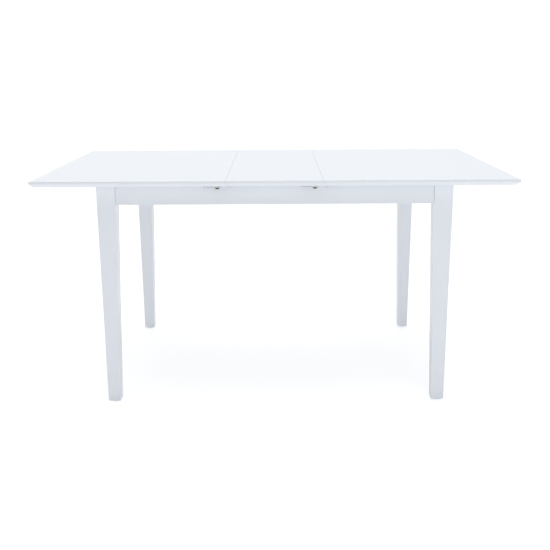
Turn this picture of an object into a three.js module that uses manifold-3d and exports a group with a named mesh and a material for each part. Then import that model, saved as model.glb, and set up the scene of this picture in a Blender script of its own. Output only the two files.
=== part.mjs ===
// An extendable dining table, drawn out to its full length with its leaf in place.
// Millimetres, +Z up, X along the table, origin on the floor under the middle of the top.
//
// The two halves of the top slide on a fixed frame of four legs and four aprons. The gap between
// them holds a leaf of two panels, which folds up like a book about the line where they meet.
// Swing locks on the underside tie the leaf and the halves together.
import * as THREE from "three";
import { mergeVertices } from "three/addons/utils/BufferGeometryUtils.js";
import Module from "manifold-3d";

const wasm = await Module();
wasm.setup();

// ---------------------------------------------------------------- driving dimensions
// Top
const TABLE_HEIGHT = 740;
const HALF_LENGTH = 600; // one half of the top, along X
const LEAF_WIDTH = 300; // the gap between the halves, which the leaf fills
const TOP_WIDTH = 900;
const TOP_THICKNESS = 18;
const EDGE_BAND = 7; // upright part of the edge, above the under-bevel
const BEVEL_WIDTH = 11; // how far the under-bevel cuts in
const SEAM_GAP = 0.4; // leaf to each half
const FOLD_GAP = 0.5; // between the two leaf panels
const REST_GAP = 0.3; // between a piece and what it rests on or is fixed to

// Frame
const TOP_OVERHANG = 45; // closed top beyond the legs, on every side
const LEG_TOP = 58;
const LEG_FOOT = 40;
const LEG_TAPER_START = 6; // below the apron
const LEG_FOOT_CHAMFER = 2;
const APRON_HEIGHT = 62;
const APRON_THICKNESS = 20;
const APRON_SETBACK = 4; // behind the legs' outer faces
const GLIDE_RADIUS = 12;
const GLIDE_THICKNESS = 3;
const GLIDE_PIN_RADIUS = 1.7;
const GLIDE_PIN_LENGTH = 16;

// Corner joints: a pressed steel bracket, a hanger bolt into the leg, and a washer-faced nut
const BRACKET_STANDOFF = 12; // leg's inner corner to the bracket's plate
const BRACKET_THICKNESS = 2.5;
const BRACKET_HEIGHT = 42;
const BRACKET_FLANGE = 25;
const BOLT_RADIUS = 4;
const BOLT_IN_LEG = 34;
const BOLT_PAST_NUT = 4;
const NUT_ACROSS_FLATS = 13;
const NUT_SIDES = 6;
const NUT_HEIGHT = 6.5;
const WASHER_RADIUS = 10;
const WASHER_THICKNESS = 1.5;
const HOLE_CLEARANCE = 0.3; // on the radius

// Runners under the halves, and the grooved rails that carry them
const OVERTRAVEL = 40; // how far each half pulls out past the leaf
const RAIL_DEPTH = 22;
const RAIL_HEIGHT = 26;
const RAIL_DROP = 8; // below the frame's top
const RAIL_END_CLEARANCE = 8; // to the corner bracket
const GROOVE_DEPTH = 10;
const GROOVE_HEIGHT = 8.6;
const RUNNER_THICKNESS = 20;
const RUNNER_HEIGHT = 32;
const RUNNER_CLEARANCE = 0.5; // to the rail's face, and the tongue to the groove's bottom
const TONGUE_CLEARANCE = 0.3; // above and below the tongue
const RUNNER_END_INSET = 10; // from the seam
const CORNER_CLEARANCE = 42; // leg's inner face to the end of a pulled-out runner
const STOP_RADIUS = 2.5;
const STOP_HEAD_RADIUS = 4.6;
const STOP_HEAD_HEIGHT = 2.6;
const STOP_INSET = 12; // from the rail's end
const STOP_COVER = 3; // wood above the stop screw's tip

// Cross bearers, which carry the folded leaf when it is stored
const BEARER_WIDTH = 30;
const BEARER_THICKNESS = 12;
const BEARER_OFFSET = 60; // from the middle of the table

// Leaf rests: tabs under the halves' inner edges that the leaf lies on
const REST_LENGTH = 90;
const REST_REACH = 30; // under the leaf
const REST_TAB_WIDTH = 50;
const REST_THICKNESS = 8;
const REST_NOSE_RADIUS = 12;
const LEFT_REST_PLACES = [-150, 60]; // along Y; the right half's are mirrored, so that they pass

// Locks: a base with a pivot stud, a swing lever with a hook, and a keeper with a pin
const LOCK_SETBACK = 26; // pivot to the seam
const LOCK_INSET = 28; // pivot to the top's edge
const LOCK_PLATE_LENGTH = 34;
const LOCK_PLATE_WIDTH = 20;
const LOCK_PLATE_THICKNESS = 1.5;
const LOCK_PLATE_CORNER = 4;
const STUD_RADIUS = 3;
const STUD_HEAD_RADIUS = 5.2;
const STUD_HEAD_THICKNESS = 2.2;
const LEVER_GAP = 0.6; // above and below the lever
const LEVER_THICKNESS = 2.5;
const LEVER_BOSS_RADIUS = 9;
const LEVER_ARM_WIDTH = 9;
const HOOK_WALL = 4; // beyond and behind the hook's slot
const HOOK_CLEARANCE = 0.7;
const HOOK_ARC_STEPS = 8;
const TAB_WIDTH = 16; // at the lever
const TAB_TIP_WIDTH = 7;
const TAB_THICKNESS = 2.2;
const TAB_DROP = 10; // below the top's underside
const KEEPER_PIN_RADIUS = 2.5;
const KEEPER_SETBACK = 10; // pin to the seam
const KEEPER_PLATE_LENGTH = 26;
const KEEPER_PLATE_EDGE = 3; // plate's end to the seam
const KEEPER_PIN_DROP = 1; // below the lever

// Barrel hinges let into the edges where the leaf's panels meet
const HINGE_RADIUS = 6;
const HINGE_DEPTH = 14;
const HINGE_OFFSET = 90; // from the middle of the leaf
const HINGE_CLEARANCE = 0.3;

// ---------------------------------------------------------------- places worked out from them
const SEAM_X = LEAF_WIDTH / 2;
const TOP_END_X = SEAM_X + HALF_LENGTH;
const TOP_EDGE_Y = TOP_WIDTH / 2;
const UNDERSIDE_Z = TABLE_HEIGHT - TOP_THICKNESS;
const FRAME_X = HALF_LENGTH - TOP_OVERHANG; // legs' outer faces
const FRAME_Y = TOP_EDGE_Y - TOP_OVERHANG;
const FRAME_TOP_Z = UNDERSIDE_Z - REST_GAP;
const APRON_BOTTOM_Z = FRAME_TOP_Z - APRON_HEIGHT;
const APRON_INNER = APRON_SETBACK + APRON_THICKNESS; // inner face, in from the legs' outer faces
const LEG_BOTTOM_Z = GLIDE_THICKNESS + REST_GAP;
const RAIL_TOP_Z = FRAME_TOP_Z - RAIL_DROP;
const GROOVE_Z = RAIL_TOP_Z - RAIL_HEIGHT / 2;
const RAIL_OUTER_Y = FRAME_Y - APRON_INNER - REST_GAP;
const RAIL_INNER_Y = RAIL_OUTER_Y - RAIL_DEPTH;
const BRACKET_LINE = 2 * LEG_TOP + BRACKET_STANDOFF * Math.SQRT2; // x + y on the plate's leg side
const BRACKET_REACH = BRACKET_LINE - APRON_INNER - REST_GAP + BRACKET_FLANGE;
const RAIL_HALF_LENGTH = FRAME_X - BRACKET_REACH - RAIL_END_CLEARANCE;
const STOP_X = RAIL_HALF_LENGTH - STOP_INSET;
const LOCK_Y = TOP_EDGE_Y - LOCK_INSET;
const PLATE_TOP_Z = UNDERSIDE_Z - REST_GAP;
const PLATE_BOTTOM_Z = PLATE_TOP_Z - LOCK_PLATE_THICKNESS;
const LEVER_TOP_Z = PLATE_BOTTOM_Z - LEVER_GAP;
const LEVER_BOTTOM_Z = LEVER_TOP_Z - LEVER_THICKNESS;
const HOOK_RADIUS = LOCK_SETBACK + KEEPER_SETBACK; // pivot to the keeper's pin

// ---------------------------------------------------------------- helpers
const ROUND_SEGMENTS = 24;
const WELD_DISTANCE = 1e-4;
const CUT_PAST = 1; // how far a cutter runs out of what it cuts

// A closed geometry as a solid that can be joined and cut.
function solidOf(geometry) {
  const bare = geometry.clone();
  bare.deleteAttribute("normal");
  bare.deleteAttribute("uv");
  const merged = mergeVertices(bare, WELD_DISTANCE);
  return new wasm.Manifold(
    new wasm.Mesh({
      numProp: 3,
      vertProperties: merged.attributes.position.array,
      triVerts: new Uint32Array(merged.index.array),
    }),
  );
}

// Such a solid as a geometry again.
function geometryOf(solid) {
  const mesh = solid.getMesh();
  const geometry = new THREE.BufferGeometry();
  geometry.setAttribute("position", new THREE.BufferAttribute(mesh.vertProperties, 3));
  geometry.setIndex(new THREE.BufferAttribute(mesh.triVerts, 1));
  geometry.computeVertexNormals();
  return geometry;
}

function cut(geometry, ...tools) {
  return geometryOf(tools.reduce((solid, tool) => solid.subtract(solidOf(tool)), solidOf(geometry)));
}

function join(geometry, ...more) {
  return geometryOf(more.reduce((solid, piece) => solid.add(solidOf(piece)), solidOf(geometry)));
}

function common(a, b) {
  return geometryOf(solidOf(a).intersect(solidOf(b)));
}

// A box between two corners.
function block(x, y, z) {
  const geometry = new THREE.BoxGeometry(x[1] - x[0], y[1] - y[0], z[1] - z[0]);
  return geometry.translate((x[0] + x[1]) / 2, (y[0] + y[1]) / 2, (z[0] + z[1]) / 2);
}

// A flat shape drawn in XY, given its thickness along Z.
function plate(shape, z) {
  const options = { depth: z[1] - z[0], bevelEnabled: false, curveSegments: ROUND_SEGMENTS / 4 };
  return new THREE.ExtrudeGeometry(shape, options).translate(0, 0, z[0]);
}

// An outline drawn in (x, z), run along Y; and one drawn in (y, z), run along X.
function runAlongY(outline, y) {
  const geometry = plate(new THREE.Shape(outline), [0, y[1] - y[0]]);
  return geometry.rotateX(Math.PI / 2).translate(0, y[1], 0);
}

function runAlongX(outline, x) {
  const geometry = plate(new THREE.Shape(outline), [0, x[1] - x[0]]);
  return geometry.rotateX(Math.PI / 2).rotateZ(Math.PI / 2).translate(x[0], 0, 0);
}

// An upright cylinder, or one lying along Y.
function post(radius, z, x = 0, y = 0) {
  const geometry = new THREE.CylinderGeometry(radius, radius, z[1] - z[0], ROUND_SEGMENTS);
  return geometry.rotateX(Math.PI / 2).translate(x, y, (z[0] + z[1]) / 2);
}

function dowel(radius, y, x, z) {
  const geometry = new THREE.CylinderGeometry(radius, radius, y[1] - y[0], ROUND_SEGMENTS);
  return geometry.translate(x, (y[0] + y[1]) / 2, z);
}

const points = (...pairs) => pairs.map(([x, y]) => new THREE.Vector2(x, y));
const ordered = (a, b) => [Math.min(a, b), Math.max(a, b)];

function roundedRectangle(x, y, radius) {
  const shape = new THREE.Shape();
  shape.moveTo(x[0] + radius, y[0]);
  shape.lineTo(x[1] - radius, y[0]);
  shape.absarc(x[1] - radius, y[0] + radius, radius, -Math.PI / 2, 0);
  shape.lineTo(x[1], y[1] - radius);
  shape.absarc(x[1] - radius, y[1] - radius, radius, 0, Math.PI / 2);
  shape.lineTo(x[0] + radius, y[1]);
  shape.absarc(x[0] + radius, y[1] - radius, radius, Math.PI / 2, Math.PI);
  shape.lineTo(x[0], y[0] + radius);
  shape.absarc(x[0] + radius, y[0] + radius, radius, Math.PI, 1.5 * Math.PI);
  return shape;
}

// ---------------------------------------------------------------- materials
const standard = (color, roughness, metalness) =>
  new THREE.MeshStandardMaterial({ color, roughness, metalness });
const FINISHES = {
  lacquer: standard(0xf2f5fa, 0.35, 0),
  beech: standard(0xd8b183, 0.6, 0),
  steel: standard(0xb9bcc0, 0.35, 1),
  bronze: standard(0x33302c, 0.45, 0.8),
  brass: standard(0xb08d4a, 0.3, 1),
  glide: standard(0x8a8c90, 0.8, 0),
};

const table = new THREE.Group();

function add(name, geometry, finish, parent = table) {
  const mesh = new THREE.Mesh(geometry, FINISHES[finish].clone());
  mesh.name = name;
  parent.add(mesh);
  return mesh;
}

const SIDES = [
  ["left", -1],
  ["right", 1],
];
const ENDS = [
  ["front", -1],
  ["back", 1],
];

// ---------------------------------------------------------------- the top's two halves
// Each is one panel whose front, back and outer edges are bevelled underneath.
function topHalf(side) {
  const seam = side * SEAM_X;
  const end = side * TOP_END_X;
  const bandZ = TABLE_HEIGHT - EDGE_BAND;
  const across = points(
    [-TOP_EDGE_Y, TABLE_HEIGHT],
    [-TOP_EDGE_Y, bandZ],
    [-TOP_EDGE_Y + BEVEL_WIDTH, UNDERSIDE_Z],
    [TOP_EDGE_Y - BEVEL_WIDTH, UNDERSIDE_Z],
    [TOP_EDGE_Y, bandZ],
    [TOP_EDGE_Y, TABLE_HEIGHT],
  );
  const along = points(
    [seam, TABLE_HEIGHT],
    [seam, UNDERSIDE_Z],
    [end - side * BEVEL_WIDTH, UNDERSIDE_Z],
    [end, bandZ],
    [end, TABLE_HEIGHT],
  );
  const whole = runAlongY(along, [-TOP_EDGE_Y, TOP_EDGE_Y]);
  return common(runAlongX(across, ordered(seam, end)), whole);
}

for (const [name, side] of SIDES) add(`${name}_top_half`, topHalf(side), "lacquer");

// ---------------------------------------------------------------- the leaf
// Two panels that meet in the middle of the table, each bored for two barrel hinges.
const HINGE_Z = UNDERSIDE_Z + TOP_THICKNESS / 2;
const LEAF_HALF_X = SEAM_X - SEAM_GAP;

function leafPanel(end) {
  const outline = points(
    [end * (FOLD_GAP / 2), TABLE_HEIGHT],
    [end * (FOLD_GAP / 2), UNDERSIDE_Z],
    [end * (TOP_EDGE_Y - BEVEL_WIDTH), UNDERSIDE_Z],
    [end * TOP_EDGE_Y, TABLE_HEIGHT - EDGE_BAND],
    [end * TOP_EDGE_Y, TABLE_HEIGHT],
  );
  const depth = FOLD_GAP / 2 + HINGE_DEPTH + HINGE_CLEARANCE;
  const boreY = ordered(-end * CUT_PAST, end * depth);
  const bores = SIDES.map(([, side]) =>
    dowel(HINGE_RADIUS + HINGE_CLEARANCE, boreY, side * HINGE_OFFSET, HINGE_Z),
  );
  return cut(runAlongX(outline, [-LEAF_HALF_X, LEAF_HALF_X]), ...bores);
}

for (const [endName, end] of ENDS) {
  add(`leaf_${endName}_panel`, leafPanel(end), "lacquer");
  for (const [sideName, side] of SIDES) {
    const y = ordered((end * FOLD_GAP) / 2, end * (FOLD_GAP / 2 + HINGE_DEPTH));
    const barrel = dowel(HINGE_RADIUS, y, side * HINGE_OFFSET, HINGE_Z);
    add(`hinge_barrel_${endName}_${sideName}`, barrel, "brass");
  }
}

// ---------------------------------------------------------------- the four corners
// A corner is drawn with its outer edge at the origin and the table towards +X and +Y, and is
// turned into place. It is alike on both sides of its diagonal, so a quarter turn fits each one.
function leg() {
  const taperZ = APRON_BOTTOM_Z - LEG_TAPER_START;
  const outline = points(
    [LEG_FOOT_CHAMFER, LEG_BOTTOM_Z],
    [LEG_FOOT - LEG_FOOT_CHAMFER, LEG_BOTTOM_Z],
    [LEG_FOOT, LEG_BOTTOM_Z + LEG_FOOT_CHAMFER],
    [LEG_TOP, taperZ],
    [LEG_TOP, FRAME_TOP_Z],
    [0, FRAME_TOP_Z],
    [0, LEG_BOTTOM_Z + LEG_FOOT_CHAMFER],
  );
  const body = common(runAlongX(outline, [0, LEG_TOP]), runAlongY(outline, [0, LEG_TOP]));
  const pinHole = post(
    GLIDE_PIN_RADIUS + HOLE_CLEARANCE,
    [0, LEG_BOTTOM_Z + GLIDE_PIN_LENGTH + HOLE_CLEARANCE],
    LEG_FOOT / 2,
    LEG_FOOT / 2,
  );
  const boltHole = onDiagonal(BOLT_RADIUS + HOLE_CLEARANCE, -BOLT_IN_LEG - HOLE_CLEARANCE, LEG_TOP);
  return cut(body, pinHole, boltHole);
}

// A cylinder on the corner's diagonal, between two distances from the leg's inner edge.
const BOLT_Z = FRAME_TOP_Z - APRON_HEIGHT / 2;
function onDiagonal(radius, from, to, segments = ROUND_SEGMENTS) {
  const geometry = new THREE.CylinderGeometry(radius, radius, to - from, segments);
  geometry.rotateZ(-Math.PI / 2).translate((from + to) / 2, 0, 0);
  return geometry.rotateZ(Math.PI / 4).translate(LEG_TOP, LEG_TOP, BOLT_Z);
}

function footGlide() {
  const disc = post(GLIDE_RADIUS, [0, GLIDE_THICKNESS], LEG_FOOT / 2, LEG_FOOT / 2);
  const pin = post(
    GLIDE_PIN_RADIUS,
    [GLIDE_THICKNESS / 2, LEG_BOTTOM_Z + GLIDE_PIN_LENGTH],
    LEG_FOOT / 2,
    LEG_FOOT / 2,
  );
  return join(disc, pin);
}

function cornerBracket() {
  const near = APRON_INNER + REST_GAP;
  const far = near + BRACKET_THICKNESS;
  const innerLine = BRACKET_LINE + BRACKET_THICKNESS * Math.SQRT2;
  const shape = new THREE.Shape(
    points(
      [BRACKET_REACH, near],
      [BRACKET_REACH, far],
      [innerLine - far, far],
      [far, innerLine - far],
      [far, BRACKET_REACH],
      [near, BRACKET_REACH],
      [near, BRACKET_LINE - near],
      [BRACKET_LINE - near, near],
    ),
  );
  const body = plate(shape, [BOLT_Z - BRACKET_HEIGHT / 2, BOLT_Z + BRACKET_HEIGHT / 2]);
  return cut(body, onDiagonal(BOLT_RADIUS + HOLE_CLEARANCE, 0, 2 * BRACKET_STANDOFF));
}

const WASHER_AT = BRACKET_STANDOFF + BRACKET_THICKNESS + REST_GAP;
const NUT_END = WASHER_AT + WASHER_THICKNESS + NUT_HEIGHT;

function hangerBolt() {
  return onDiagonal(BOLT_RADIUS, -BOLT_IN_LEG, NUT_END + BOLT_PAST_NUT);
}

function hangerNut() {
  const nutRadius = NUT_ACROSS_FLATS / 2 / Math.cos(Math.PI / NUT_SIDES);
  const washer = onDiagonal(WASHER_RADIUS, WASHER_AT, WASHER_AT + WASHER_THICKNESS);
  const hexagon = onDiagonal(nutRadius, WASHER_AT + WASHER_THICKNESS / 2, NUT_END, NUT_SIDES);
  const hole = onDiagonal(BOLT_RADIUS + HOLE_CLEARANCE, 0, NUT_END + CUT_PAST);
  return cut(join(washer, hexagon), hole);
}

const CORNERS = [
  ["front_left", -1, -1],
  ["front_right", 1, -1],
  ["back_right", 1, 1],
  ["back_left", -1, 1],
];
CORNERS.forEach(([name, sideX, sideY], turn) => {
  const corner = new THREE.Group();
  corner.position.set(sideX * FRAME_X, sideY * FRAME_Y, 0);
  corner.rotation.z = (turn * Math.PI) / 2;
  add(`leg_${name}`, leg(), "lacquer", corner);
  add(`foot_glide_${name}`, footGlide(), "glide", corner);
  add(`corner_bracket_${name}`, cornerBracket(), "steel", corner);
  add(`hanger_bolt_${name}`, hangerBolt(), "steel", corner);
  add(`hanger_nut_${name}`, hangerNut(), "steel", corner);
  table.add(corner);
});

// ---------------------------------------------------------------- aprons
const APRON_Z = [APRON_BOTTOM_Z, FRAME_TOP_Z];
const LONG_APRON_HALF = FRAME_X - LEG_TOP - REST_GAP;
const SHORT_APRON_HALF = FRAME_Y - LEG_TOP - REST_GAP;
const apronBand = (outer, sign) =>
  ordered(sign * (outer - APRON_SETBACK), sign * (outer - APRON_INNER));

for (const [name, end] of ENDS) {
  const apron = block([-LONG_APRON_HALF, LONG_APRON_HALF], apronBand(FRAME_Y, end), APRON_Z);
  add(`${name}_apron`, apron, "lacquer");
}
for (const [name, side] of SIDES) {
  const apron = block(apronBand(FRAME_X, side), [-SHORT_APRON_HALF, SHORT_APRON_HALF], APRON_Z);
  add(`${name}_apron`, apron, "lacquer");
}

// ---------------------------------------------------------------- guide rails and stop screws
// A hardwood rail on each long apron's inner face, with a groove for the runners' tongues. A
// stop screw crosses the groove near each end.
const STOP_Y = RAIL_INNER_Y + GROOVE_DEPTH / 2;
const RAIL_BOTTOM_Z = RAIL_TOP_Z - RAIL_HEIGHT;
const STOP_TIP_Z = RAIL_TOP_Z - STOP_COVER;

function guideRail(end) {
  const grooveY = RAIL_INNER_Y + GROOVE_DEPTH;
  const low = GROOVE_Z - GROOVE_HEIGHT / 2;
  const high = GROOVE_Z + GROOVE_HEIGHT / 2;
  const outline = points(
    [end * RAIL_OUTER_Y, RAIL_BOTTOM_Z],
    [end * RAIL_OUTER_Y, RAIL_TOP_Z],
    [end * RAIL_INNER_Y, RAIL_TOP_Z],
    [end * RAIL_INNER_Y, high],
    [end * grooveY, high],
    [end * grooveY, low],
    [end * RAIL_INNER_Y, low],
    [end * RAIL_INNER_Y, RAIL_BOTTOM_Z],
  );
  const holeZ = [RAIL_BOTTOM_Z - CUT_PAST, STOP_TIP_Z + HOLE_CLEARANCE];
  const holes = SIDES.map(([, side]) =>
    post(STOP_RADIUS + HOLE_CLEARANCE, holeZ, side * STOP_X, end * STOP_Y),
  );
  return cut(runAlongX(outline, [-RAIL_HALF_LENGTH, RAIL_HALF_LENGTH]), ...holes);
}

function stopScrew(side, end) {
  const headTop = RAIL_BOTTOM_Z - REST_GAP;
  const headZ = [headTop - STOP_HEAD_HEIGHT, headTop];
  const shankZ = [headTop - STOP_HEAD_HEIGHT / 2, STOP_TIP_Z];
  const head = post(STOP_HEAD_RADIUS, headZ, side * STOP_X, end * STOP_Y);
  return join(head, post(STOP_RADIUS, shankZ, side * STOP_X, end * STOP_Y));
}

// ---------------------------------------------------------------- runners
// A bar under each half, near each long apron. Its tongue runs in the rail's groove, holds the
// half down, and stops against the stop screw when the half is pulled out by OVERTRAVEL.
function runner(side, end) {
  const innerX = SEAM_X + RUNNER_END_INSET;
  const outerX = FRAME_X - LEG_TOP - CORNER_CLEARANCE - OVERTRAVEL;
  const tongueX = STOP_X - STOP_RADIUS - RUNNER_CLEARANCE - OVERTRAVEL;
  const faceY = RAIL_INNER_Y - RUNNER_CLEARANCE;
  const tongueY = RAIL_INNER_Y + GROOVE_DEPTH - RUNNER_CLEARANCE;
  const reach = GROOVE_HEIGHT / 2 - TONGUE_CLEARANCE;
  const bar = block(
    ordered(side * innerX, side * outerX),
    ordered(end * (faceY - RUNNER_THICKNESS), end * faceY),
    [FRAME_TOP_Z - RUNNER_HEIGHT, FRAME_TOP_Z],
  );
  const tongue = block(
    ordered(side * innerX, side * tongueX),
    ordered(end * (faceY - RUNNER_THICKNESS / 2), end * tongueY),
    [GROOVE_Z - reach, GROOVE_Z + reach],
  );
  return join(bar, tongue);
}

for (const [endName, end] of ENDS) {
  add(`${endName}_guide_rail`, guideRail(end), "beech");
  for (const [sideName, side] of SIDES) {
    add(`stop_screw_${endName}_${sideName}`, stopScrew(side, end), "steel");
    add(`runner_${endName}_${sideName}`, runner(side, end), "beech");
  }
}

// ---------------------------------------------------------------- cross bearers
// Two slats from apron to apron, level with the aprons' lower edges.
const BEARER_HALF_Y = FRAME_Y - APRON_INNER - REST_GAP;
for (const [name, side] of SIDES) {
  const middle = side * BEARER_OFFSET;
  const bearer = block(
    [middle - BEARER_WIDTH / 2, middle + BEARER_WIDTH / 2],
    [-BEARER_HALF_Y, BEARER_HALF_Y],
    [APRON_BOTTOM_Z, APRON_BOTTOM_Z + BEARER_THICKNESS],
  );
  add(`${name}_cross_bearer`, bearer, "beech");
}

// ---------------------------------------------------------------- leaf rests
// Tabs with a rounded nose. The right half's places are the left's mirrored, so that the tabs
// of both halves pass beside each other when the leaf is out and the top is closed.
function leafRest(side, y) {
  const x = ordered(side * (SEAM_X + REST_LENGTH - REST_REACH), side * (SEAM_X - REST_REACH));
  const across = [y - REST_TAB_WIDTH / 2, y + REST_TAB_WIDTH / 2];
  const z = [FRAME_TOP_Z - REST_THICKNESS, FRAME_TOP_Z];
  return plate(roundedRectangle(x, across, REST_NOSE_RADIUS), z);
}

for (const [name, side] of SIDES) {
  const places = ordered(...LEFT_REST_PLACES.map((y) => -side * y));
  add(`leaf_rest_${name}_front`, leafRest(side, places[0]), "beech");
  add(`leaf_rest_${name}_back`, leafRest(side, places[1]), "beech");
}

// ---------------------------------------------------------------- locks
// At each seam, near the front and back edges, a lever on the left-hand piece hooks round a pin
// on the right-hand piece. It is drawn with its pivot at the origin, as it stands when open:
// its arm points to -X, away from the seam, and its thumb tab hangs on the table's outer side.
function lockBase() {
  const half = LOCK_PLATE_LENGTH / 2;
  const wide = LOCK_PLATE_WIDTH / 2;
  const shape = roundedRectangle([-half, half], [-wide, wide], LOCK_PLATE_CORNER);
  const headTop = LEVER_BOTTOM_Z - LEVER_GAP;
  const head = post(STUD_HEAD_RADIUS, [headTop - STUD_HEAD_THICKNESS, headTop]);
  const studZ = [headTop - STUD_HEAD_THICKNESS / 2, PLATE_TOP_Z - LOCK_PLATE_THICKNESS / 2];
  const stud = post(STUD_RADIUS, studZ);
  return join(plate(shape, [PLATE_BOTTOM_Z, PLATE_TOP_Z]), stud, head);
}

// The arm's slot is open on the table's outer side, which leads as the lever swings round past
// the table's edge to +X, and ends in a half round about the place where the pin comes to lie.
function lockLever(end) {
  const slot = KEEPER_PIN_RADIUS + HOOK_CLEARANCE;
  const half = LEVER_ARM_WIDTH / 2;
  const back = slot + HOOK_WALL;
  const outline = [
    [0, -half],
    [-HOOK_RADIUS + 2 * back, -half],
    [-HOOK_RADIUS + back, -back],
    [-HOOK_RADIUS, -back],
    [-HOOK_RADIUS - back, 0],
    [-HOOK_RADIUS - back, half],
    [-HOOK_RADIUS - slot, half],
  ];
  for (let step = 0; step <= HOOK_ARC_STEPS; step++) {
    const angle = Math.PI * (1 + step / HOOK_ARC_STEPS);
    outline.push([-HOOK_RADIUS + slot * Math.cos(angle), slot * Math.sin(angle)]);
  }
  outline.push([-HOOK_RADIUS + slot, half], [0, half]);
  const shape = new THREE.Shape(outline.map(([x, y]) => new THREE.Vector2(x, y * end)));
  const lever = [LEVER_BOTTOM_Z, LEVER_TOP_Z];
  const tabX = [-TAB_WIDTH / 2, TAB_WIDTH / 2];
  const tabY = ordered(end * LEVER_BOSS_RADIUS, end * (LEVER_BOSS_RADIUS - TAB_THICKNESS));
  const tabOutline = points(
    [-TAB_WIDTH / 2, LEVER_TOP_Z],
    [-TAB_WIDTH / 2, LEVER_BOTTOM_Z],
    [-TAB_TIP_WIDTH / 2, UNDERSIDE_Z - TAB_DROP],
    [TAB_TIP_WIDTH / 2, UNDERSIDE_Z - TAB_DROP],
    [TAB_WIDTH / 2, LEVER_BOTTOM_Z],
    [TAB_WIDTH / 2, LEVER_TOP_Z],
  );
  const tab = runAlongY(tabOutline, tabY);
  const root = block(tabX, ordered(end * LEVER_BOSS_RADIUS, 0), lever);
  const body = join(plate(shape, lever), post(LEVER_BOSS_RADIUS, lever), root, tab);
  const holeZ = [LEVER_BOTTOM_Z - CUT_PAST, LEVER_TOP_Z + CUT_PAST];
  return cut(body, post(STUD_RADIUS + HOLE_CLEARANCE, holeZ));
}

function keeper() {
  const wide = LOCK_PLATE_WIDTH / 2;
  const x = [KEEPER_PLATE_EDGE, KEEPER_PLATE_EDGE + KEEPER_PLATE_LENGTH];
  const outline = roundedRectangle(x, [-wide, wide], LOCK_PLATE_CORNER);
  const body = plate(outline, [PLATE_BOTTOM_Z, PLATE_TOP_Z]);
  const pinZ = [LEVER_BOTTOM_Z - KEEPER_PIN_DROP, PLATE_TOP_Z - LOCK_PLATE_THICKNESS / 2];
  return join(body, post(KEEPER_PIN_RADIUS, pinZ, KEEPER_SETBACK, 0));
}

const SEAMS = [
  { seam: -SEAM_X, lockOn: "left", keeperOn: "leaf" },
  { seam: SEAM_X, lockOn: "leaf", keeperOn: "right" },
];
for (const { seam, lockOn, keeperOn } of SEAMS) {
  for (const [endName, end] of ENDS) {
    const pivot = new THREE.Group();
    pivot.position.set(seam - LOCK_SETBACK, end * LOCK_Y, 0);
    add(`lock_base_${endName}_${lockOn}`, lockBase(), "steel", pivot);
    add(`lock_lever_${endName}_${lockOn}`, lockLever(end), "bronze", pivot);
    table.add(pivot);
    const catchPlate = add(`keeper_${endName}_${keeperOn}`, keeper(), "steel");
    catchPlate.position.set(seam, end * LOCK_Y, 0);
  }
}

export default table;
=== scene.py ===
import math

import bmesh
import bpy
from mathutils import Matrix, Vector


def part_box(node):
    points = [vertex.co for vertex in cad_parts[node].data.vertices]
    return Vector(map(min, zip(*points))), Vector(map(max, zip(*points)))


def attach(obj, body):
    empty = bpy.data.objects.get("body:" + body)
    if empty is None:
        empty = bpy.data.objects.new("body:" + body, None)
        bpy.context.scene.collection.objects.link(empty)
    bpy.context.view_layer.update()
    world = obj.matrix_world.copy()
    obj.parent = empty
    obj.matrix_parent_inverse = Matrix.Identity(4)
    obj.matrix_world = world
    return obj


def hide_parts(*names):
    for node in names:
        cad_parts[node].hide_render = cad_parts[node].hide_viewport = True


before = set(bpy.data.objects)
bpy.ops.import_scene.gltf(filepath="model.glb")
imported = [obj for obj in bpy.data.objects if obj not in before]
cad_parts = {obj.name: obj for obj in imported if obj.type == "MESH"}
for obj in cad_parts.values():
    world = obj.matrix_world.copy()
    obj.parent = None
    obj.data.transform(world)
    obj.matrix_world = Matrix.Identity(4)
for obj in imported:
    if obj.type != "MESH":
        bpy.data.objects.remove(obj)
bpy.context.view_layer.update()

# ---------------------------------------------------------------- camera
# A 53 mm lens a little under three metres in front of the table and a third of a metre above
# its top, tipped down so that the top is seen at a low slant.
LENS_MM = 53.05
SENSOR_MM = 36.0
CAMERA_PLACE = (0.0071, -2.9036, 1.0891)
CAMERA_TIP = 0.257  # radians down from level
CAMERA_TURN = 0.003
CAMERA_ROLL = -0.006
FAR_CLIP = 200.0

bpy.ops.object.select_all(action="DESELECT")
bpy.ops.object.camera_add(location=CAMERA_PLACE)
camera = bpy.context.object
camera.name = "studio_camera"
camera.data.lens = LENS_MM
camera.data.sensor_width = SENSOR_MM
camera.data.clip_end = FAR_CLIP
camera.matrix_world = (
    Matrix.Translation(CAMERA_PLACE)
    @ Matrix.Rotation(CAMERA_TURN, 4, "Z")
    @ Matrix.Rotation(math.pi / 2 - CAMERA_TIP, 4, "X")
    @ Matrix.Rotation(CAMERA_ROLL, 4, "Z")
)
bpy.context.scene.camera = camera

# ---------------------------------------------------------------- studio light and floor
# A white room, brightest overhead and along the white sweep behind the table, with a large
# softbox above and a fill from the front. The floor is a pale sheet that runs past every view.
CEILING_GLOW = 2.65  # light from straight above
WALL_GLOW = 0.30  # light from level
GLOW_FALL = 12.0  # how fast the ceiling's light fades towards the walls
SWEEP_GLOW = 0.85  # the white sweep behind the table
SWEEP_FROM = 0.25  # how far round to the back the sweep starts
SWEEP_FULL = 0.95  # and is at its brightest
ROOM_TINT = (0.955, 0.975, 1.0, 1.0)
BACKGROUND_GLOW = 1.06  # the white seen behind the table
OVERHEAD = {"place": (-0.4, 0.3, 3.4), "aim": (0.0, 0.1, 0.5), "size": (3.2, 2.4)}
OVERHEAD_WATTS = 14.0
OVERHEAD_TINT = (1.0, 0.99, 0.975)
FILL = {"place": (1.2, -4.6, 2.3), "aim": (0.0, 0.0, 0.5), "size": (3.0, 2.0)}
FILL_WATTS = 38.0
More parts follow.
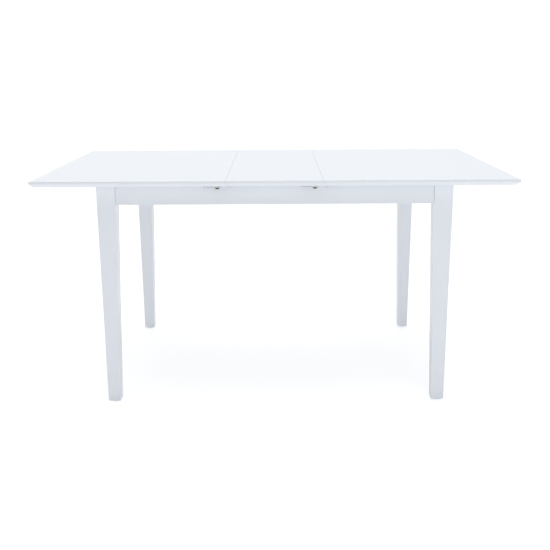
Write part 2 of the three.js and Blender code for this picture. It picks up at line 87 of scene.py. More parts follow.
FILL_TINT = (0.97, 0.985, 1.0)
FLOOR_SIZE = 60.0
FLOOR_CLOUDS = 0.7
FLOOR_ROUGH = (0.75, 0.9)
FLOOR_SHINE = 0.1
FLOOR_TONE = (0.965, 0.968, 0.97)
FLOOR_GLOW = 0.19  # light through the sheet from below
FLOOR_LIFT = 0.18  # how much whiter the sheet itself looks


def add(tree, kind, inputs=(), **settings):
    """A new node, with its settings, and with a value or another node's socket on each input."""
    made = tree.nodes.new(kind)
    for name, value in settings.items():
        setattr(made, name, value)
    for name, value in dict(inputs).items():
        if isinstance(value, bpy.types.NodeSocket):
            tree.links.new(value, made.inputs[name])
        else:
            made.inputs[name].default_value = value
    return made


def times(tree, a, b, operation="MULTIPLY"):
    """Two values multiplied, or joined by another sum."""
    return add(tree, "ShaderNodeMath", {0: a, 1: b}, operation=operation).outputs[0]


world = bpy.data.worlds.new("white_room")
bpy.context.scene.world = world
world.use_nodes = True
room = world.node_tree
room.nodes.clear()
direction = add(room, "ShaderNodeTexCoord").outputs["Generated"]
towards = add(room, "ShaderNodeSeparateXYZ", {0: direction}).outputs
above = add(room, "ShaderNodeMath", {0: towards["Z"], 1: 0.0}, operation="MAXIMUM").outputs[0]
faded = add(room, "ShaderNodeMath", {0: above, 1: GLOW_FALL}, operation="POWER").outputs[0]
ceiling = add(
    room, "ShaderNodeMapRange", {"Value": faded, "To Min": WALL_GLOW, "To Max": CEILING_GLOW}
).outputs[0]
sweep = add(
    room,
    "ShaderNodeMapRange",
    {"Value": towards["Y"], "From Min": SWEEP_FROM, "From Max": SWEEP_FULL, "To Max": SWEEP_GLOW},
).outputs[0]
glow = add(room, "ShaderNodeMath", {0: ceiling, 1: sweep}, operation="ADD").outputs[0]
lighting = add(room, "ShaderNodeBackground", {"Color": ROOM_TINT, "Strength": glow})
backdrop = add(room, "ShaderNodeBackground", {"Color": (1, 1, 1, 1), "Strength": BACKGROUND_GLOW})
seen = add(room, "ShaderNodeLightPath").outputs["Is Camera Ray"]
both = add(room, "ShaderNodeMixShader", {0: seen, 1: lighting.outputs[0], 2: backdrop.outputs[0]})
add(room, "ShaderNodeOutputWorld", {"Surface": both.outputs[0]})


def softbox(name, place, aim, size, power, tint):
    """A rectangular lamp at a place, turned towards a point."""
    bpy.ops.object.light_add(type="AREA", location=place)
    lamp = bpy.context.object
    lamp.name = name
    lamp.data.shape = "RECTANGLE"
    lamp.data.size, lamp.data.size_y = size
    lamp.data.energy = power
    lamp.data.color = tint
    lamp.rotation_euler = (Vector(aim) - Vector(place)).to_track_quat("-Z", "Y").to_euler()
    return lamp


softbox("overhead_softbox", power=OVERHEAD_WATTS, tint=OVERHEAD_TINT, **OVERHEAD)
fill = softbox("front_fill", power=FILL_WATTS, tint=FILL_TINT, **FILL)
fill.visible_glossy = False  # its outline would show on the satin top from behind

bpy.ops.object.select_all(action="DESELECT")
bpy.ops.mesh.primitive_plane_add(size=FLOOR_SIZE)
floor = bpy.context.object
floor.name = "pale_floor"
floor_paint = bpy.data.materials.new("pale_floor_paint")
floor_paint.use_nodes = True
floor_tree = floor_paint.node_tree
floor_shader = floor_tree.nodes["Principled BSDF"]
floor_place = add(floor_tree, "ShaderNodeTexCoord").outputs["Object"]
floor_cloud = add(
    floor_tree, "ShaderNodeTexNoise", {"Vector": floor_place, "Scale": FLOOR_CLOUDS}
).outputs["Fac"]
floor_rough = add(
    floor_tree,
    "ShaderNodeMapRange",
    {"Value": floor_cloud, "To Min": FLOOR_ROUGH[0], "To Max": FLOOR_ROUGH[1]},
).outputs[0]
floor_tree.links.new(floor_rough, floor_shader.inputs["Roughness"])
floor_shader.inputs["Base Color"].default_value = (*FLOOR_TONE, 1)
floor_shader.inputs["Specular IOR Level"].default_value = FLOOR_SHINE
floor_shader.inputs["Emission Color"].default_value = (1, 1, 1, 1)
floor_seen = add(floor_tree, "ShaderNodeLightPath").outputs["Is Camera Ray"]
floor_white = times(floor_tree, times(floor_tree, floor_seen, FLOOR_LIFT), FLOOR_GLOW, "ADD")
floor_tree.links.new(floor_white, floor_shader.inputs["Emission Strength"])
floor.data.materials.append(floor_paint)

bpy.context.scene.view_settings.view_transform = "Standard"

# ---------------------------------------------------------------- legs
# Solid hardwood, planed square at the top and tapered on the two inner faces. The arrises are
# rounded over with a small cutter and the whole leg is sprayed with cool white satin lacquer.
LEG_ROUND = 0.0016
LACQUER_WHITE = (0.835, 0.862, 0.90, 1)
LEG_WHITE_PAINTED_LIGHTER = (0.868, 0.896, 0.938, 1)  # a lighter copy of the aprons' lacquer: painted light for the light the legs catch
PRIMER_GREY = (0.60, 0.59, 0.565, 1)
SCUFF_GREY = (0.42, 0.42, 0.43, 1)
SCUFF_HEIGHT = 0.045  # shoes and mops reach this high
SCUFF_SIZE = 130.0
SCUFF_PATCHES = (0.47, 0.66)
SCUFF_DEPTH = 0.42
LACQUER_WEAR = {"Radius": 0.0014, "Patch Size": 45.0}
CLEAR_COAT = {"Coat Weight": 0.12, "Coat Roughness": 0.22}
FIBRE_SQUEEZE = 0.03  # a fibre's pattern is drawn out along it by this much


def new_group(name, inputs, outputs):
    """An empty node group with named inputs (name to default) and outputs (name to kind)."""
    group = bpy.data.node_groups.new(name, "ShaderNodeTree")
    kinds = {float: "NodeSocketFloat", tuple: "NodeSocketColor", list: "NodeSocketVector"}
    for socket, value in inputs.items():
        made = group.interface.new_socket(socket, in_out="INPUT", socket_type=kinds[type(value)])
        made.default_value = value
    for socket, kind in outputs.items():
        group.interface.new_socket(socket, in_out="OUTPUT", socket_type=kind)
    return group, add(group, "NodeGroupInput").outputs, add(group, "NodeGroupOutput").inputs


def mixed(tree, amount, low, high):
    """The colour between low and high, by amount."""
    return add(tree, "ShaderNodeMix", {0: amount, 6: low, 7: high}, data_type="RGBA").outputs[2]


def scaled(tree, value, from_low, from_high, to_low=0.0, to_high=1.0):
    """A value stretched from one range to another, and held within it."""
    inputs = {"Value": value, "From Min": from_low, "From Max": from_high}
    inputs.update({"To Min": to_low, "To Max": to_high})
    return add(tree, "ShaderNodeMapRange", inputs).outputs[0]


# Edge wear: how far a rounded corner's normal leans from the surface's own, broken up by noise
# so that an arris is only rubbed in patches.
BEVEL_SAMPLES = 4
LEAN_NONE = 0.995
LEAN_FULL = 0.86
WEAR_DETAIL = {"Detail": 4.0, "Roughness": 0.65}
WEAR_PATCHES = (0.44, 0.62)
edge_wear, wear_in, wear_out = new_group(
    "edge_wear",
    {"Radius": 0.001, "Amount": 0.5, "Patch Size": 60.0},
    {"Mask": "NodeSocketFloat"},
)
rounded = add(
    edge_wear, "ShaderNodeBevel", {"Radius": wear_in["Radius"]}, samples=BEVEL_SAMPLES
).outputs[0]
flat = add(edge_wear, "ShaderNodeNewGeometry").outputs["Normal"]
lean = add(
    edge_wear, "ShaderNodeVectorMath", {0: rounded, 1: flat}, operation="DOT_PRODUCT"
).outputs["Value"]
edge = scaled(edge_wear, lean, LEAN_NONE, LEAN_FULL)
wear_place = add(edge_wear, "ShaderNodeTexCoord").outputs["Object"]
wear_noise = add(
    edge_wear,
    "ShaderNodeTexNoise",
    {"Vector": wear_place, "Scale": wear_in["Patch Size"], **WEAR_DETAIL},
).outputs["Fac"]
wear_patch = scaled(edge_wear, wear_noise, *WEAR_PATCHES)
edge_wear.links.new(
    times(edge_wear, times(edge_wear, edge, wear_patch), wear_in["Amount"]), wear_out["Mask"]
)

# Sprayed lacquer: fine orange peel, wood fibres showing through faintly, and soft clouds of
# gloss where it has been wiped.
PEEL_SIZE = 620.0
FIBRE_SIZE = 420.0
CLOUDS = {"Scale": 9.0, "Detail": 9.0, "Roughness": 0.78}
CLOUD_RANGE = (0.2, 0.8)
CLOUD_BLUE = (0.55, 0.6, 0.68, 1)
CLOUD_SHADE = 0.02
CLOUD_DULLING = 0.02
PEEL_RELIEF = {"Strength": 0.12, "Distance": 0.0004}
lacquer_coat, coat_in, coat_out = new_group(
    "lacquer_coat",
    {"Paint": LACQUER_WHITE, "Fibre Stretch": [1.0, 1.0, 1.0], "Fibre": 0.3, "Gloss": 0.3},
    {"Color": "NodeSocketColor", "Roughness": "NodeSocketFloat", "Normal": "NodeSocketVector"},
)
coat_place = add(lacquer_coat, "ShaderNodeTexCoord").outputs["Object"]
stretched = add(
    lacquer_coat,
    "ShaderNodeVectorMath",
    {0: coat_place, 1: coat_in["Fibre Stretch"]},
    operation="MULTIPLY",
).outputs["Vector"]
peel = add(
    lacquer_coat, "ShaderNodeTexNoise", {"Vector": coat_place, "Scale": PEEL_SIZE, "Detail": 1.0}
).outputs["Fac"]
fibre = add(
    lacquer_coat, "ShaderNodeTexNoise", {"Vector": stretched, "Scale": FIBRE_SIZE, "Detail": 3.0}
).outputs["Fac"]
cloud = add(lacquer_coat, "ShaderNodeTexNoise", {"Vector": coat_place, **CLOUDS}).outputs["Fac"]
skin = times(lacquer_coat, peel, times(lacquer_coat, fibre, coat_in["Fibre"]), "ADD")
coat_bump = add(lacquer_coat, "ShaderNodeBump", {"Height": skin, **PEEL_RELIEF}).outputs["Normal"]
shade = scaled(lacquer_coat, cloud, *CLOUD_RANGE, 0.0, CLOUD_SHADE)
coat_colour = mixed(lacquer_coat, shade, coat_in["Paint"], CLOUD_BLUE)
dulling = scaled(lacquer_coat, cloud, *CLOUD_RANGE, 0.0, CLOUD_DULLING)
coat_rough = times(lacquer_coat, coat_in["Gloss"], dulling, "ADD")
lacquer_coat.links.new(coat_colour, coat_out["Color"])
lacquer_coat.links.new(coat_rough, coat_out["Roughness"])
lacquer_coat.links.new(coat_bump, coat_out["Normal"])


def lacquer(name, tone, fibre_stretch, fibre_depth, gloss, wear, scuffs=False):
    """White lacquer over a given wood: which way its fibres run and how much they show."""
    paint = bpy.data.materials.new(name)
    paint.use_nodes = True
    tree = paint.node_tree
    shader = tree.nodes["Principled BSDF"]
    coat = add(tree, "ShaderNodeGroup", node_tree=lacquer_coat)
    coat.inputs["Paint"].default_value = tone
    coat.inputs["Fibre Stretch"].default_value = fibre_stretch
    coat.inputs["Fibre"].default_value = fibre_depth
    coat.inputs["Gloss"].default_value = gloss
    worn = add(tree, "ShaderNodeGroup", node_tree=edge_wear)
    for socket, value in {"Amount": wear, **LACQUER_WEAR}.items():
        worn.inputs[socket].default_value = value
    colour = mixed(tree, worn.outputs["Mask"], coat.outputs["Color"], PRIMER_GREY)
    if scuffs:
        place = add(tree, "ShaderNodeTexCoord").outputs["Object"]
        up = add(tree, "ShaderNodeSeparateXYZ", {0: place}).outputs["Z"]
        low = scaled(tree, up, SCUFF_HEIGHT, 0.0)
        smear = add(
            tree,
            "ShaderNodeTexNoise",
            {"Vector": place, "Scale": SCUFF_SIZE, "Detail": 5.0, "Roughness": 0.7},
        ).outputs["Fac"]
        patches = scaled(tree, smear, *SCUFF_PATCHES, 0.0, SCUFF_DEPTH)
        mark = times(tree, times(tree, low, low), patches)
        colour = mixed(tree, mark, colour, SCUFF_GREY)
    tree.links.new(colour, shader.inputs["Base Color"])
    tree.links.new(coat.outputs["Roughness"], shader.inputs["Roughness"])
    tree.links.new(coat.outputs["Normal"], shader.inputs["Normal"])
    for socket, value in CLEAR_COAT.items():
        shader.inputs[socket].default_value = value
    return paint


WELD_DISTANCE = 0.00002
SHARP_FROM = math.radians(25)  # an edge that turns by more than this is eased
LARGE_FACES_FIRST = 100


def dress(node, finish, rounding, steps=3):
    """Gives a frame part its finish, and eases its sharp edges by a small rounding."""
    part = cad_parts[node]
    for held in part.material_slots:
        held.material = finish
    weld = part.modifiers.new("weld", "WELD")
    weld.merge_threshold = WELD_DISTANCE
    ease = part.modifiers.new("eased_edges", "BEVEL")
    ease.width = rounding
    ease.segments = steps
    ease.limit_method = "ANGLE"
    ease.angle_limit = SHARP_FROM
    ease.harden_normals = True
    ease.use_clamp_overlap = True
    even = part.modifiers.new("even_shading", "WEIGHTED_NORMAL")
    even.weight = LARGE_FACES_FIRST


ENDS = (("front", -1), ("back", 1))
SIDES = (("left", -1), ("right", 1))
CORNERS = [(f"{end}_{side}", x, y) for end, y in ENDS for side, x in SIDES]

# The legs take a lighter copy of the lacquer white, painted light standing in for the light they
# catch.
leg_paint = lacquer(
    "leg_lacquer_painted_lighter",
    LEG_WHITE_PAINTED_LIGHTER,
    (1, 1, FIBRE_SQUEEZE),
    fibre_depth=0.5,
    gloss=0.30,
    wear=0.25,
    scuffs=True,
)
for corner, _, _ in CORNERS:
    dress(f"leg_{corner}", leg_paint, LEG_ROUND, 4)

# ---------------------------------------------------------------- foot glides
# A moulded grey nylon disc with a rounded rim, nailed into the end grain of each leg, with a
# thin felt pad stuck into its recessed face.
GLIDE_NYLON = (0.36, 0.365, 0.375, 1)
FELT_GREY = (0.17, 0.165, 0.16, 1)
FELT_INSET = 0.0016
FELT_WALL = 0.0002
FELT_SUNK = 0.0005
FELT_EDGE = 0.0004
FELT_SHEEN = 0.4
GLIDE_THICK = 0.003
GLIDE_RIM = 0.0009
GLIDE_PIN = 0.0026
ACROSS_A_RIM = 1.2  # radians; the sides of a disc or a hexagon turn by less
SAME_POINT = 0.000005
SPECKLE_DARK = 0.6
SPECKLE_TONES = (0.35, 0.65)
SPECKLE_GLOSS = (0.3, 0.7)
SPECKLE_ROUGH = 0.08
SPECKLE_HEIGHT = 0.0003


def pick(piece, wanted, kind="FACE"):
    """In edit mode, selects the faces (or edges) whose middle and normal pass the test."""
    shape = bmesh.from_edit_mesh(piece.data)
    bpy.ops.mesh.select_mode(type=kind)
    bpy.ops.mesh.select_all(action="DESELECT")
    if kind == "FACE":
        for face in shape.faces:
            face.select_set(bool(wanted(face.calc_center_median(), face.normal)))
    else:
        for line in shape.edges:
            middle = (line.verts[0].co + line.verts[1].co) / 2
            faces = line.link_faces
            turned = faces[0].normal.angle(faces[1].normal, 0.0) if len(faces) == 2 else 0.0
            line.select_set(bool(wanted(middle, turned)))
    bmesh.update_edit_mesh(piece.data)


def faces_down(middle, normal):
    """A test for pick: the flat faces under a piece."""
    return normal.z < -0.99


def faces_up(middle, normal):
    """A test for pick: the flat faces on top of a piece."""
    return normal.z > 0.99


def on_rims(middle, turned):
    """A test for pick: the edges round both ends of a disc."""
    return turned > ACROSS_A_RIM


def on_top_rim(middle, turned):
    """A test for pick: the edges round a disc's upper end only."""
    return turned > ACROSS_A_RIM and middle.z > 0.001


def start_disc(name, radius, depth, sides=48):
    """A round blank standing on z = 0, left in edit mode with nothing selected."""
    bpy.ops.object.select_all(action="DESELECT")
    bpy.ops.mesh.primitive_cylinder_add(
        vertices=sides, radius=radius, depth=depth, location=(0, 0, depth / 2)
    )
    blank = bpy.context.object
    blank.name = name
    bpy.ops.object.transform_apply(location=True, rotation=True, scale=True)
    bpy.ops.object.mode_set(mode="EDIT")
    bpy.ops.mesh.select_all(action="DESELECT")
    return blank


def finish_shape(smooth_up_to=35):
    """Leaves edit mode with the normals facing out and the shading smooth on gentle bends."""
    bpy.ops.mesh.select_all(action="SELECT")
    bpy.ops.mesh.remove_doubles(threshold=SAME_POINT)
    bpy.ops.mesh.normals_make_consistent(inside=False)
    bpy.ops.object.mode_set(mode="OBJECT")
    bpy.ops.object.shade_smooth_by_angle(angle=math.radians(smooth_up_to))


def placed(model, name, point, towards=(0, 0, 1), spin=0.0):
    """A copy of a model with its own mesh, its +Z turned to a direction and its foot on a point."""
    copy = model.copy()
    copy.data = model.data.copy()
    copy.name = name
    bpy.context.collection.objects.link(copy)
    turn = Vector(towards).to_track_quat("Z", "Y").to_matrix().to_4x4()
    copy.data.transform(Matrix.Translation(point) @ turn @ Matrix.Rotation(spin, 4, "Z"))
    return copy


def middle_of(node):
    """The middle of a frame part's box."""
    low, high = (Vector(corner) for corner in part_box(node))
    return (low + high) / 2


def plain(name, colour, rough, metal, noise_size, spread, bump):
    """A finish with its tone and gloss broken up by one noise, as moulded or cast stuff has."""
    made = bpy.data.materials.new(name)
    made.use_nodes = True
    tree = made.node_tree
    shader = tree.nodes["Principled BSDF"]
    place = add(tree, "ShaderNodeTexCoord").outputs["Object"]
    speckle = add(
        tree, "ShaderNodeTexNoise", {"Vector": place, "Scale": noise_size, "Detail": 4.0}
    ).outputs["Fac"]
    dark = (*(part * SPECKLE_DARK for part in colour[:3]), 1)
    tone = mixed(tree, scaled(tree, speckle, *SPECKLE_TONES, 0.0, spread), colour, dark)
    gloss = scaled(tree, speckle, *SPECKLE_GLOSS, rough - SPECKLE_ROUGH, rough + SPECKLE_ROUGH)
    relief = {"Strength": bump, "Distance": SPECKLE_HEIGHT, "Height": speckle}
    raised = add(tree, "ShaderNodeBump", relief)
    tree.links.new(tone, shader.inputs["Base Color"])
    tree.links.new(gloss, shader.inputs["Roughness"])
    tree.links.new(raised.outputs["Normal"], shader.inputs["Normal"])
    shader.inputs["Metallic"].default_value = metal
    return made


glide_low, glide_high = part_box("foot_glide_front_left")
GLIDE_RADIUS = (glide_high[0] - glide_low[0]) / 2
GLIDE_PIN_TOP = glide_high[2]
nylon = plain(
    "grey_nylon", GLIDE_NYLON, rough=0.5, metal=0.0, noise_size=900.0, spread=0.25, bump=0.2
)
felt = plain("grey_felt", FELT_GREY, rough=0.9, metal=0.0, noise_size=2600.0, spread=0.8, bump=0.9)
felt.node_tree.nodes["Principled BSDF"].inputs["Sheen Weight"].default_value = FELT_SHEEN

glide = start_disc("glide_model", GLIDE_RADIUS, GLIDE_THICK)
glide.data.materials.append(nylon)
glide.data.materials.append(felt)
pick(glide, on_rims, "EDGE")
bpy.ops.mesh.bevel(offset=GLIDE_RIM, segments=4, profile=0.5)
pick(glide, faces_down)
bpy.ops.mesh.inset(thickness=FELT_INSET, depth=0.0)
bpy.ops.mesh.inset(thickness=FELT_WALL, depth=-FELT_SUNK)
bpy.ops.mesh.inset(thickness=FELT_EDGE, depth=FELT_SUNK)
bpy.context.object.active_material_index = 1
bpy.ops.object.material_slot_assign()
pick(glide, faces_up)
bpy.ops.mesh.inset(thickness=GLIDE_RADIUS - GLIDE_PIN, depth=0.0)
bpy.ops.mesh.extrude_region_move(
    TRANSFORM_OT_translate={"value": (0, 0, GLIDE_PIN_TOP - GLIDE_THICK)}
)
finish_shape()

for corner, _, _ in CORNERS:
    spot = middle_of(f"foot_glide_{corner}")
    pad = placed(glide, f"nylon_glide_{corner}", (spot.x, spot.y, 0))
    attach(pad, "frame")
    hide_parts(f"foot_glide_{corner}")
bpy.data.objects.remove(glide)

# ---------------------------------------------------------------- aprons
# Four boards of solid hardwood glued between the legs, set back a few millimetres from their
# faces, sprayed white with them. The fibres run along each board.
APRON_ROUND = 0.0010
APRON_COAT = {"fibre_depth": 0.5, "gloss": 0.30, "wear": 0.12}
long_apron_paint = lacquer(
    "long_apron_lacquer", LACQUER_WHITE, (FIBRE_SQUEEZE, 1, 1), **APRON_COAT
)
short_apron_paint = lacquer(
    "short_apron_lacquer", LACQUER_WHITE, (1, FIBRE_SQUEEZE, 1), **APRON_COAT
)
for end, _ in ENDS:
    dress(f"{end}_apron", long_apron_paint, APRON_ROUND)
for side, _ in SIDES:
    dress(f"{side}_apron", short_apron_paint, APRON_ROUND)

# ---------------------------------------------------------------- top halves and leaf
# Fibreboard panels, moulded to an upright band over an under-bevel on their outer edges, and
# sprayed all round. The meeting edges are only just eased, so that the seams stay fine.
TOP_ROUND = 0.0007
top_paint = lacquer(
    "top_lacquer", LACQUER_WHITE, (1, 1, 1), fibre_depth=0.0, gloss=0.27, wear=0.10
)
for panel in ("left_top_half", "right_top_half", "leaf_front_panel", "leaf_back_panel"):
    dress(panel, top_paint, TOP_ROUND)

# ---------------------------------------------------------------- screws
# Two zinc-plated cross-head screws: a countersunk one that lies flush in wood and thin plate,
# and a pan-head one for the corner brackets. Only their heads show.
FLUSH_HEAD = 0.0030
FLUSH_DEPTH = 0.0012
FLUSH_PROUD = 0.00015
FLUSH_TAPER = 0.55
FLUSH_EASE = 0.00012
FLUSH_RECESS = {"width": FLUSH_HEAD * 1.25, "depth": 0.0009}
PAN_HEAD = 0.0038
PAN_HEIGHT = 0.0022
PAN_DOME = 0.0014
PAN_RECESS = {"width": PAN_HEAD * 1.2, "depth": 0.0014}
SCREW_SIDES = 32
SCREW_TURN = 1.3  # each screw in a row stops this much further round
BLADE_THICK = 0.24  # of its width
BLADE_TAPER = 0.55
BLADE_TURN = 0.4
ZINC_TONE = (0.72, 0.73, 0.74, 1)
ZINC_BLUE = (0.62, 0.66, 0.72, 1)
ZINC_WARM = (0.73, 0.70, 0.63, 1)
ZINC_WORN = (0.75, 0.76, 0.77, 1)
METAL_WEAR = {"Radius": 0.0006, "Patch Size": 260.0}

# Plated steel: a soft crystal mottle and fine drawing lines under the plating.
CRYSTAL_SIZE = 420.0
CRYSTAL_ROUGH = 0.16
BLOOM_SIZE = 75.0
COOL_BLOOM = (0.35, 0.55)
WARM_BLOOM = (0.56, 0.75)
DRAWN_LINES = (900.0, 900.0, 5000.0)
LINE_RELIEF = {"Strength": 0.15, "Distance": 0.00015}
plated_skin, plate_in, plate_out = new_group(
    "plated_skin",
    {"Tone": ZINC_TONE, "Cool Tint": ZINC_BLUE, "Warm Tint": ZINC_WARM, "Roughness": 0.3},
    {"Color": "NodeSocketColor", "Roughness": "NodeSocketFloat", "Normal": "NodeSocketVector"},
)
plate_place = add(plated_skin, "ShaderNodeTexCoord").outputs["Object"]
crystal = add(
    plated_skin,
    "ShaderNodeTexVoronoi",
    {"Vector": plate_place, "Scale": CRYSTAL_SIZE},
    feature="SMOOTH_F1",
).outputs["Distance"]
bloom = add(
    plated_skin, "ShaderNodeTexNoise", {"Vector": plate_place, "Scale": BLOOM_SIZE, "Detail": 4.0}
).outputs["Fac"]
draw_lines = add(
    plated_skin, "ShaderNodeVectorMath", {0: plate_place, 1: DRAWN_LINES}, operation="MULTIPLY"
).outputs["Vector"]
lines = add(
    plated_skin, "ShaderNodeTexNoise", {"Vector": draw_lines, "Scale": 1.0, "Detail": 1.0}
).outputs["Fac"]
cool_mask = scaled(plated_skin, bloom, *COOL_BLOOM)
cooled = mixed(plated_skin, cool_mask, plate_in["Tone"], plate_in["Cool Tint"])
warm_mask = scaled(plated_skin, bloom, *WARM_BLOOM)
warmed = mixed(plated_skin, warm_mask, cooled, plate_in["Warm Tint"])
frosting = scaled(plated_skin, crystal, 0.0, 0.9, 0.0, CRYSTAL_ROUGH)
plate_rough = times(plated_skin, plate_in["Roughness"], frosting, "ADD")
plate_bump = add(plated_skin, "ShaderNodeBump", {"Height": lines, **LINE_RELIEF}).outputs["Normal"]
plated_skin.links.new(warmed, plate_out["Color"])
plated_skin.links.new(plate_rough, plate_out["Roughness"])
plated_skin.links.new(plate_bump, plate_out["Normal"])


def metal(name, tone, cool, warm, rough, worn_tone, wear):
    """A metal finish with the plated skin, worn to another tone along its edges."""
    made = bpy.data.materials.new(name)
    made.use_nodes = True
    tree = made.node_tree
    shader = tree.nodes["Principled BSDF"]
    skin_node = add(tree, "ShaderNodeGroup", node_tree=plated_skin, name="plating")
    plating = {"Tone": tone, "Cool Tint": cool, "Warm Tint": warm, "Roughness": rough}
    for socket, value in plating.items():
        skin_node.inputs[socket].default_value = value
    worn = add(tree, "ShaderNodeGroup", node_tree=edge_wear)
    for socket, value in {"Amount": wear, **METAL_WEAR}.items():
        worn.inputs[socket].default_value = value
    colour = mixed(tree, worn.outputs["Mask"], skin_node.outputs["Color"], worn_tone)
    tree.links.new(colour, shader.inputs["Base Color"])
    tree.links.new(skin_node.outputs["Roughness"], shader.inputs["Roughness"])
    tree.links.new(skin_node.outputs["Normal"], shader.inputs["Normal"])
    shader.inputs["Metallic"].default_value = 1.0
    return made


zinc = metal(
    "zinc_plate", ZINC_TONE, ZINC_BLUE, ZINC_WARM, rough=0.27, worn_tone=ZINC_WORN, wear=0.5
)


def cut_recess(screw, head_top, width, depth):
    """Sinks a cross recess into a screw head, with a tapered blade turned once across itself."""
    for quarter in (0, 1):
        bpy.ops.object.select_all(action="DESELECT")
        bpy.ops.mesh.primitive_cube_add(size=1, location=(0, 0, head_top))
        blade = bpy.context.object
        blade.scale = (width, width * BLADE_THICK, depth * 2)
        blade.rotation_euler.z = quarter * math.pi / 2 + BLADE_TURN
        bpy.ops.object.transform_apply(location=True, rotation=True, scale=True)
        bpy.ops.object.mode_set(mode="EDIT")
        pick(blade, faces_down)
        bpy.ops.transform.resize(value=(BLADE_TAPER, BLADE_TAPER, 1))
        bpy.ops.object.mode_set(mode="OBJECT")
        bpy.ops.object.select_all(action="DESELECT")
        screw.select_set(True)
        bpy.context.view_layer.objects.active = screw
        sink = screw.modifiers.new("recess", "BOOLEAN")
        sink.object = blade
        sink.operation = "DIFFERENCE"
        sink.solver = "EXACT"
        bpy.ops.object.modifier_apply(modifier="recess")
        bpy.data.objects.remove(blade)


flush_screw = start_disc("flush_screw_model", FLUSH_HEAD, FLUSH_DEPTH, SCREW_SIDES)
pick(flush_screw, faces_down)
bpy.ops.transform.resize(value=(FLUSH_TAPER, FLUSH_TAPER, 1))
pick(flush_screw, on_top_rim, "EDGE")
bpy.ops.mesh.bevel(offset=FLUSH_EASE, segments=2, profile=0.5)
finish_shape(smooth_up_to=30)
flush_screw.data.transform(Matrix.Translation((0, 0, FLUSH_PROUD - FLUSH_DEPTH)))
cut_recess(flush_screw, FLUSH_PROUD, **FLUSH_RECESS)
flush_screw.data.materials.append(zinc)

pan_screw = start_disc("pan_screw_model", PAN_HEAD, PAN_HEIGHT, SCREW_SIDES)
pick(pan_screw, on_top_rim, "EDGE")
bpy.ops.mesh.bevel(offset=PAN_DOME, segments=5, profile=0.6)
finish_shape(smooth_up_to=30)
cut_recess(pan_screw, PAN_HEIGHT, **PAN_RECESS)
pan_screw.data.materials.append(zinc)


def screw_set(name, model, spots, body, size=1.0):
    """Copies of a screw at (point, direction) places, as one piece that rides on a body."""
    copies = []
    for number, (point, towards) in enumerate(spots):
        screw = placed(model, f"{name}_{number}", (0, 0, 0), spin=number * SCREW_TURN)
        screw.data.transform(Matrix.Scale(size, 4))
        turn = Vector(towards).to_track_quat("Z", "Y").to_matrix().to_4x4()
        screw.data.transform(Matrix.Translation(point) @ turn)
        copies.append(screw)
    bpy.ops.object.select_all(action="DESELECT")
    for screw in copies:
        screw.select_set(True)
    bpy.context.view_layer.objects.active = copies[0]
    bpy.ops.object.join()
    joined = bpy.context.object
    joined.name = name
    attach(joined, body)


# ---------------------------------------------------------------- corner joints
# A pressed steel bracket bridges each corner behind the leg, held to the aprons by four
# pan-head screws. A hanger bolt runs from the leg through it, drawn up by a nut and washer.
BRACKET_ROUND = 0.0005
BRACKET_SHEET = 0.0025
FLANGE_SCREW_IN = 0.012  # from the flange's end
FLANGE_SCREW_UP = 0.012  # above and below the bolt
THREAD_PITCH = 0.00125
THREAD_DEPTH = 0.00062
WASHER_THICK = 0.0015
WASHER_EASE = 0.0004
NUT_HEIGHT = 0.0065
NUT_HALF_FLATS = 0.0065
NUT_RADIUS = NUT_HALF_FLATS / math.cos(math.pi / 6)
NUT_EASE = 0.0006
NUT_DISH = {"thickness": NUT_RADIUS * 0.22, "depth": -0.0005}
NUT_TURN = 0.35  # no two nuts stop at the same angle
BOLT_TIP = 0.0004
BOLT_PAST_NUT = 0.004

bolt_low, bolt_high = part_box("hanger_bolt_front_left")
BOLT_RADIUS = (bolt_high[2] - bolt_low[2]) / 2
BOLT_LENGTH = (bolt_high[0] - bolt_low[0]) * math.sqrt(2) - 2 * BOLT_RADIUS

# Each turn of the thread is one widening and one narrowing ring, extruded from the end face.
bolt = start_disc("hanger_bolt_model", BOLT_RADIUS - THREAD_DEPTH, THREAD_PITCH / 2, SCREW_SIDES)
swell = BOLT_RADIUS / (BOLT_RADIUS - THREAD_DEPTH)
pick(bolt, faces_up)
for ring in range(int((BOLT_LENGTH - THREAD_PITCH) / THREAD_PITCH)):
    bpy.ops.mesh.extrude_region_move(TRANSFORM_OT_translate={"value": (0, 0, THREAD_PITCH / 2)})
    bpy.ops.transform.resize(value=(swell, swell, 1))
    bpy.ops.mesh.extrude_region_move(TRANSFORM_OT_translate={"value": (0, 0, THREAD_PITCH / 2)})
    bpy.ops.transform.resize(value=(1 / swell, 1 / swell, 1))
bpy.ops.mesh.inset(thickness=BOLT_TIP, depth=BOLT_TIP)
finish_shape(smooth_up_to=20)
bolt.data.materials.append(zinc)

nut_low, nut_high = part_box("hanger_nut_front_left")
WASHER_RADIUS = (nut_high[2] - nut_low[2]) / 2
washer = start_disc("washer_model", WASHER_RADIUS, WASHER_THICK)
pick(washer, on_rims, "EDGE")
bpy.ops.mesh.bevel(offset=WASHER_EASE, segments=3, profile=0.5)
finish_shape()
nut = start_disc("nut_model", NUT_RADIUS, NUT_HEIGHT, sides=6)
pick(nut, on_rims, "EDGE")
bpy.ops.mesh.bevel(offset=NUT_EASE, segments=3, profile=0.5)
pick(nut, faces_up)
bpy.ops.mesh.inset(thickness=NUT_EASE, depth=0.0)
bpy.ops.mesh.inset(**NUT_DISH)
finish_shape()
nut.data.transform(Matrix.Translation((0, 0, WASHER_THICK)))
bpy.ops.object.select_all(action="DESELECT")
nut.select_set(True)
washer.select_set(True)
bpy.context.view_layer.objects.active = washer
bpy.ops.object.join()
nut = bpy.context.object
nut.data.materials.append(zinc)

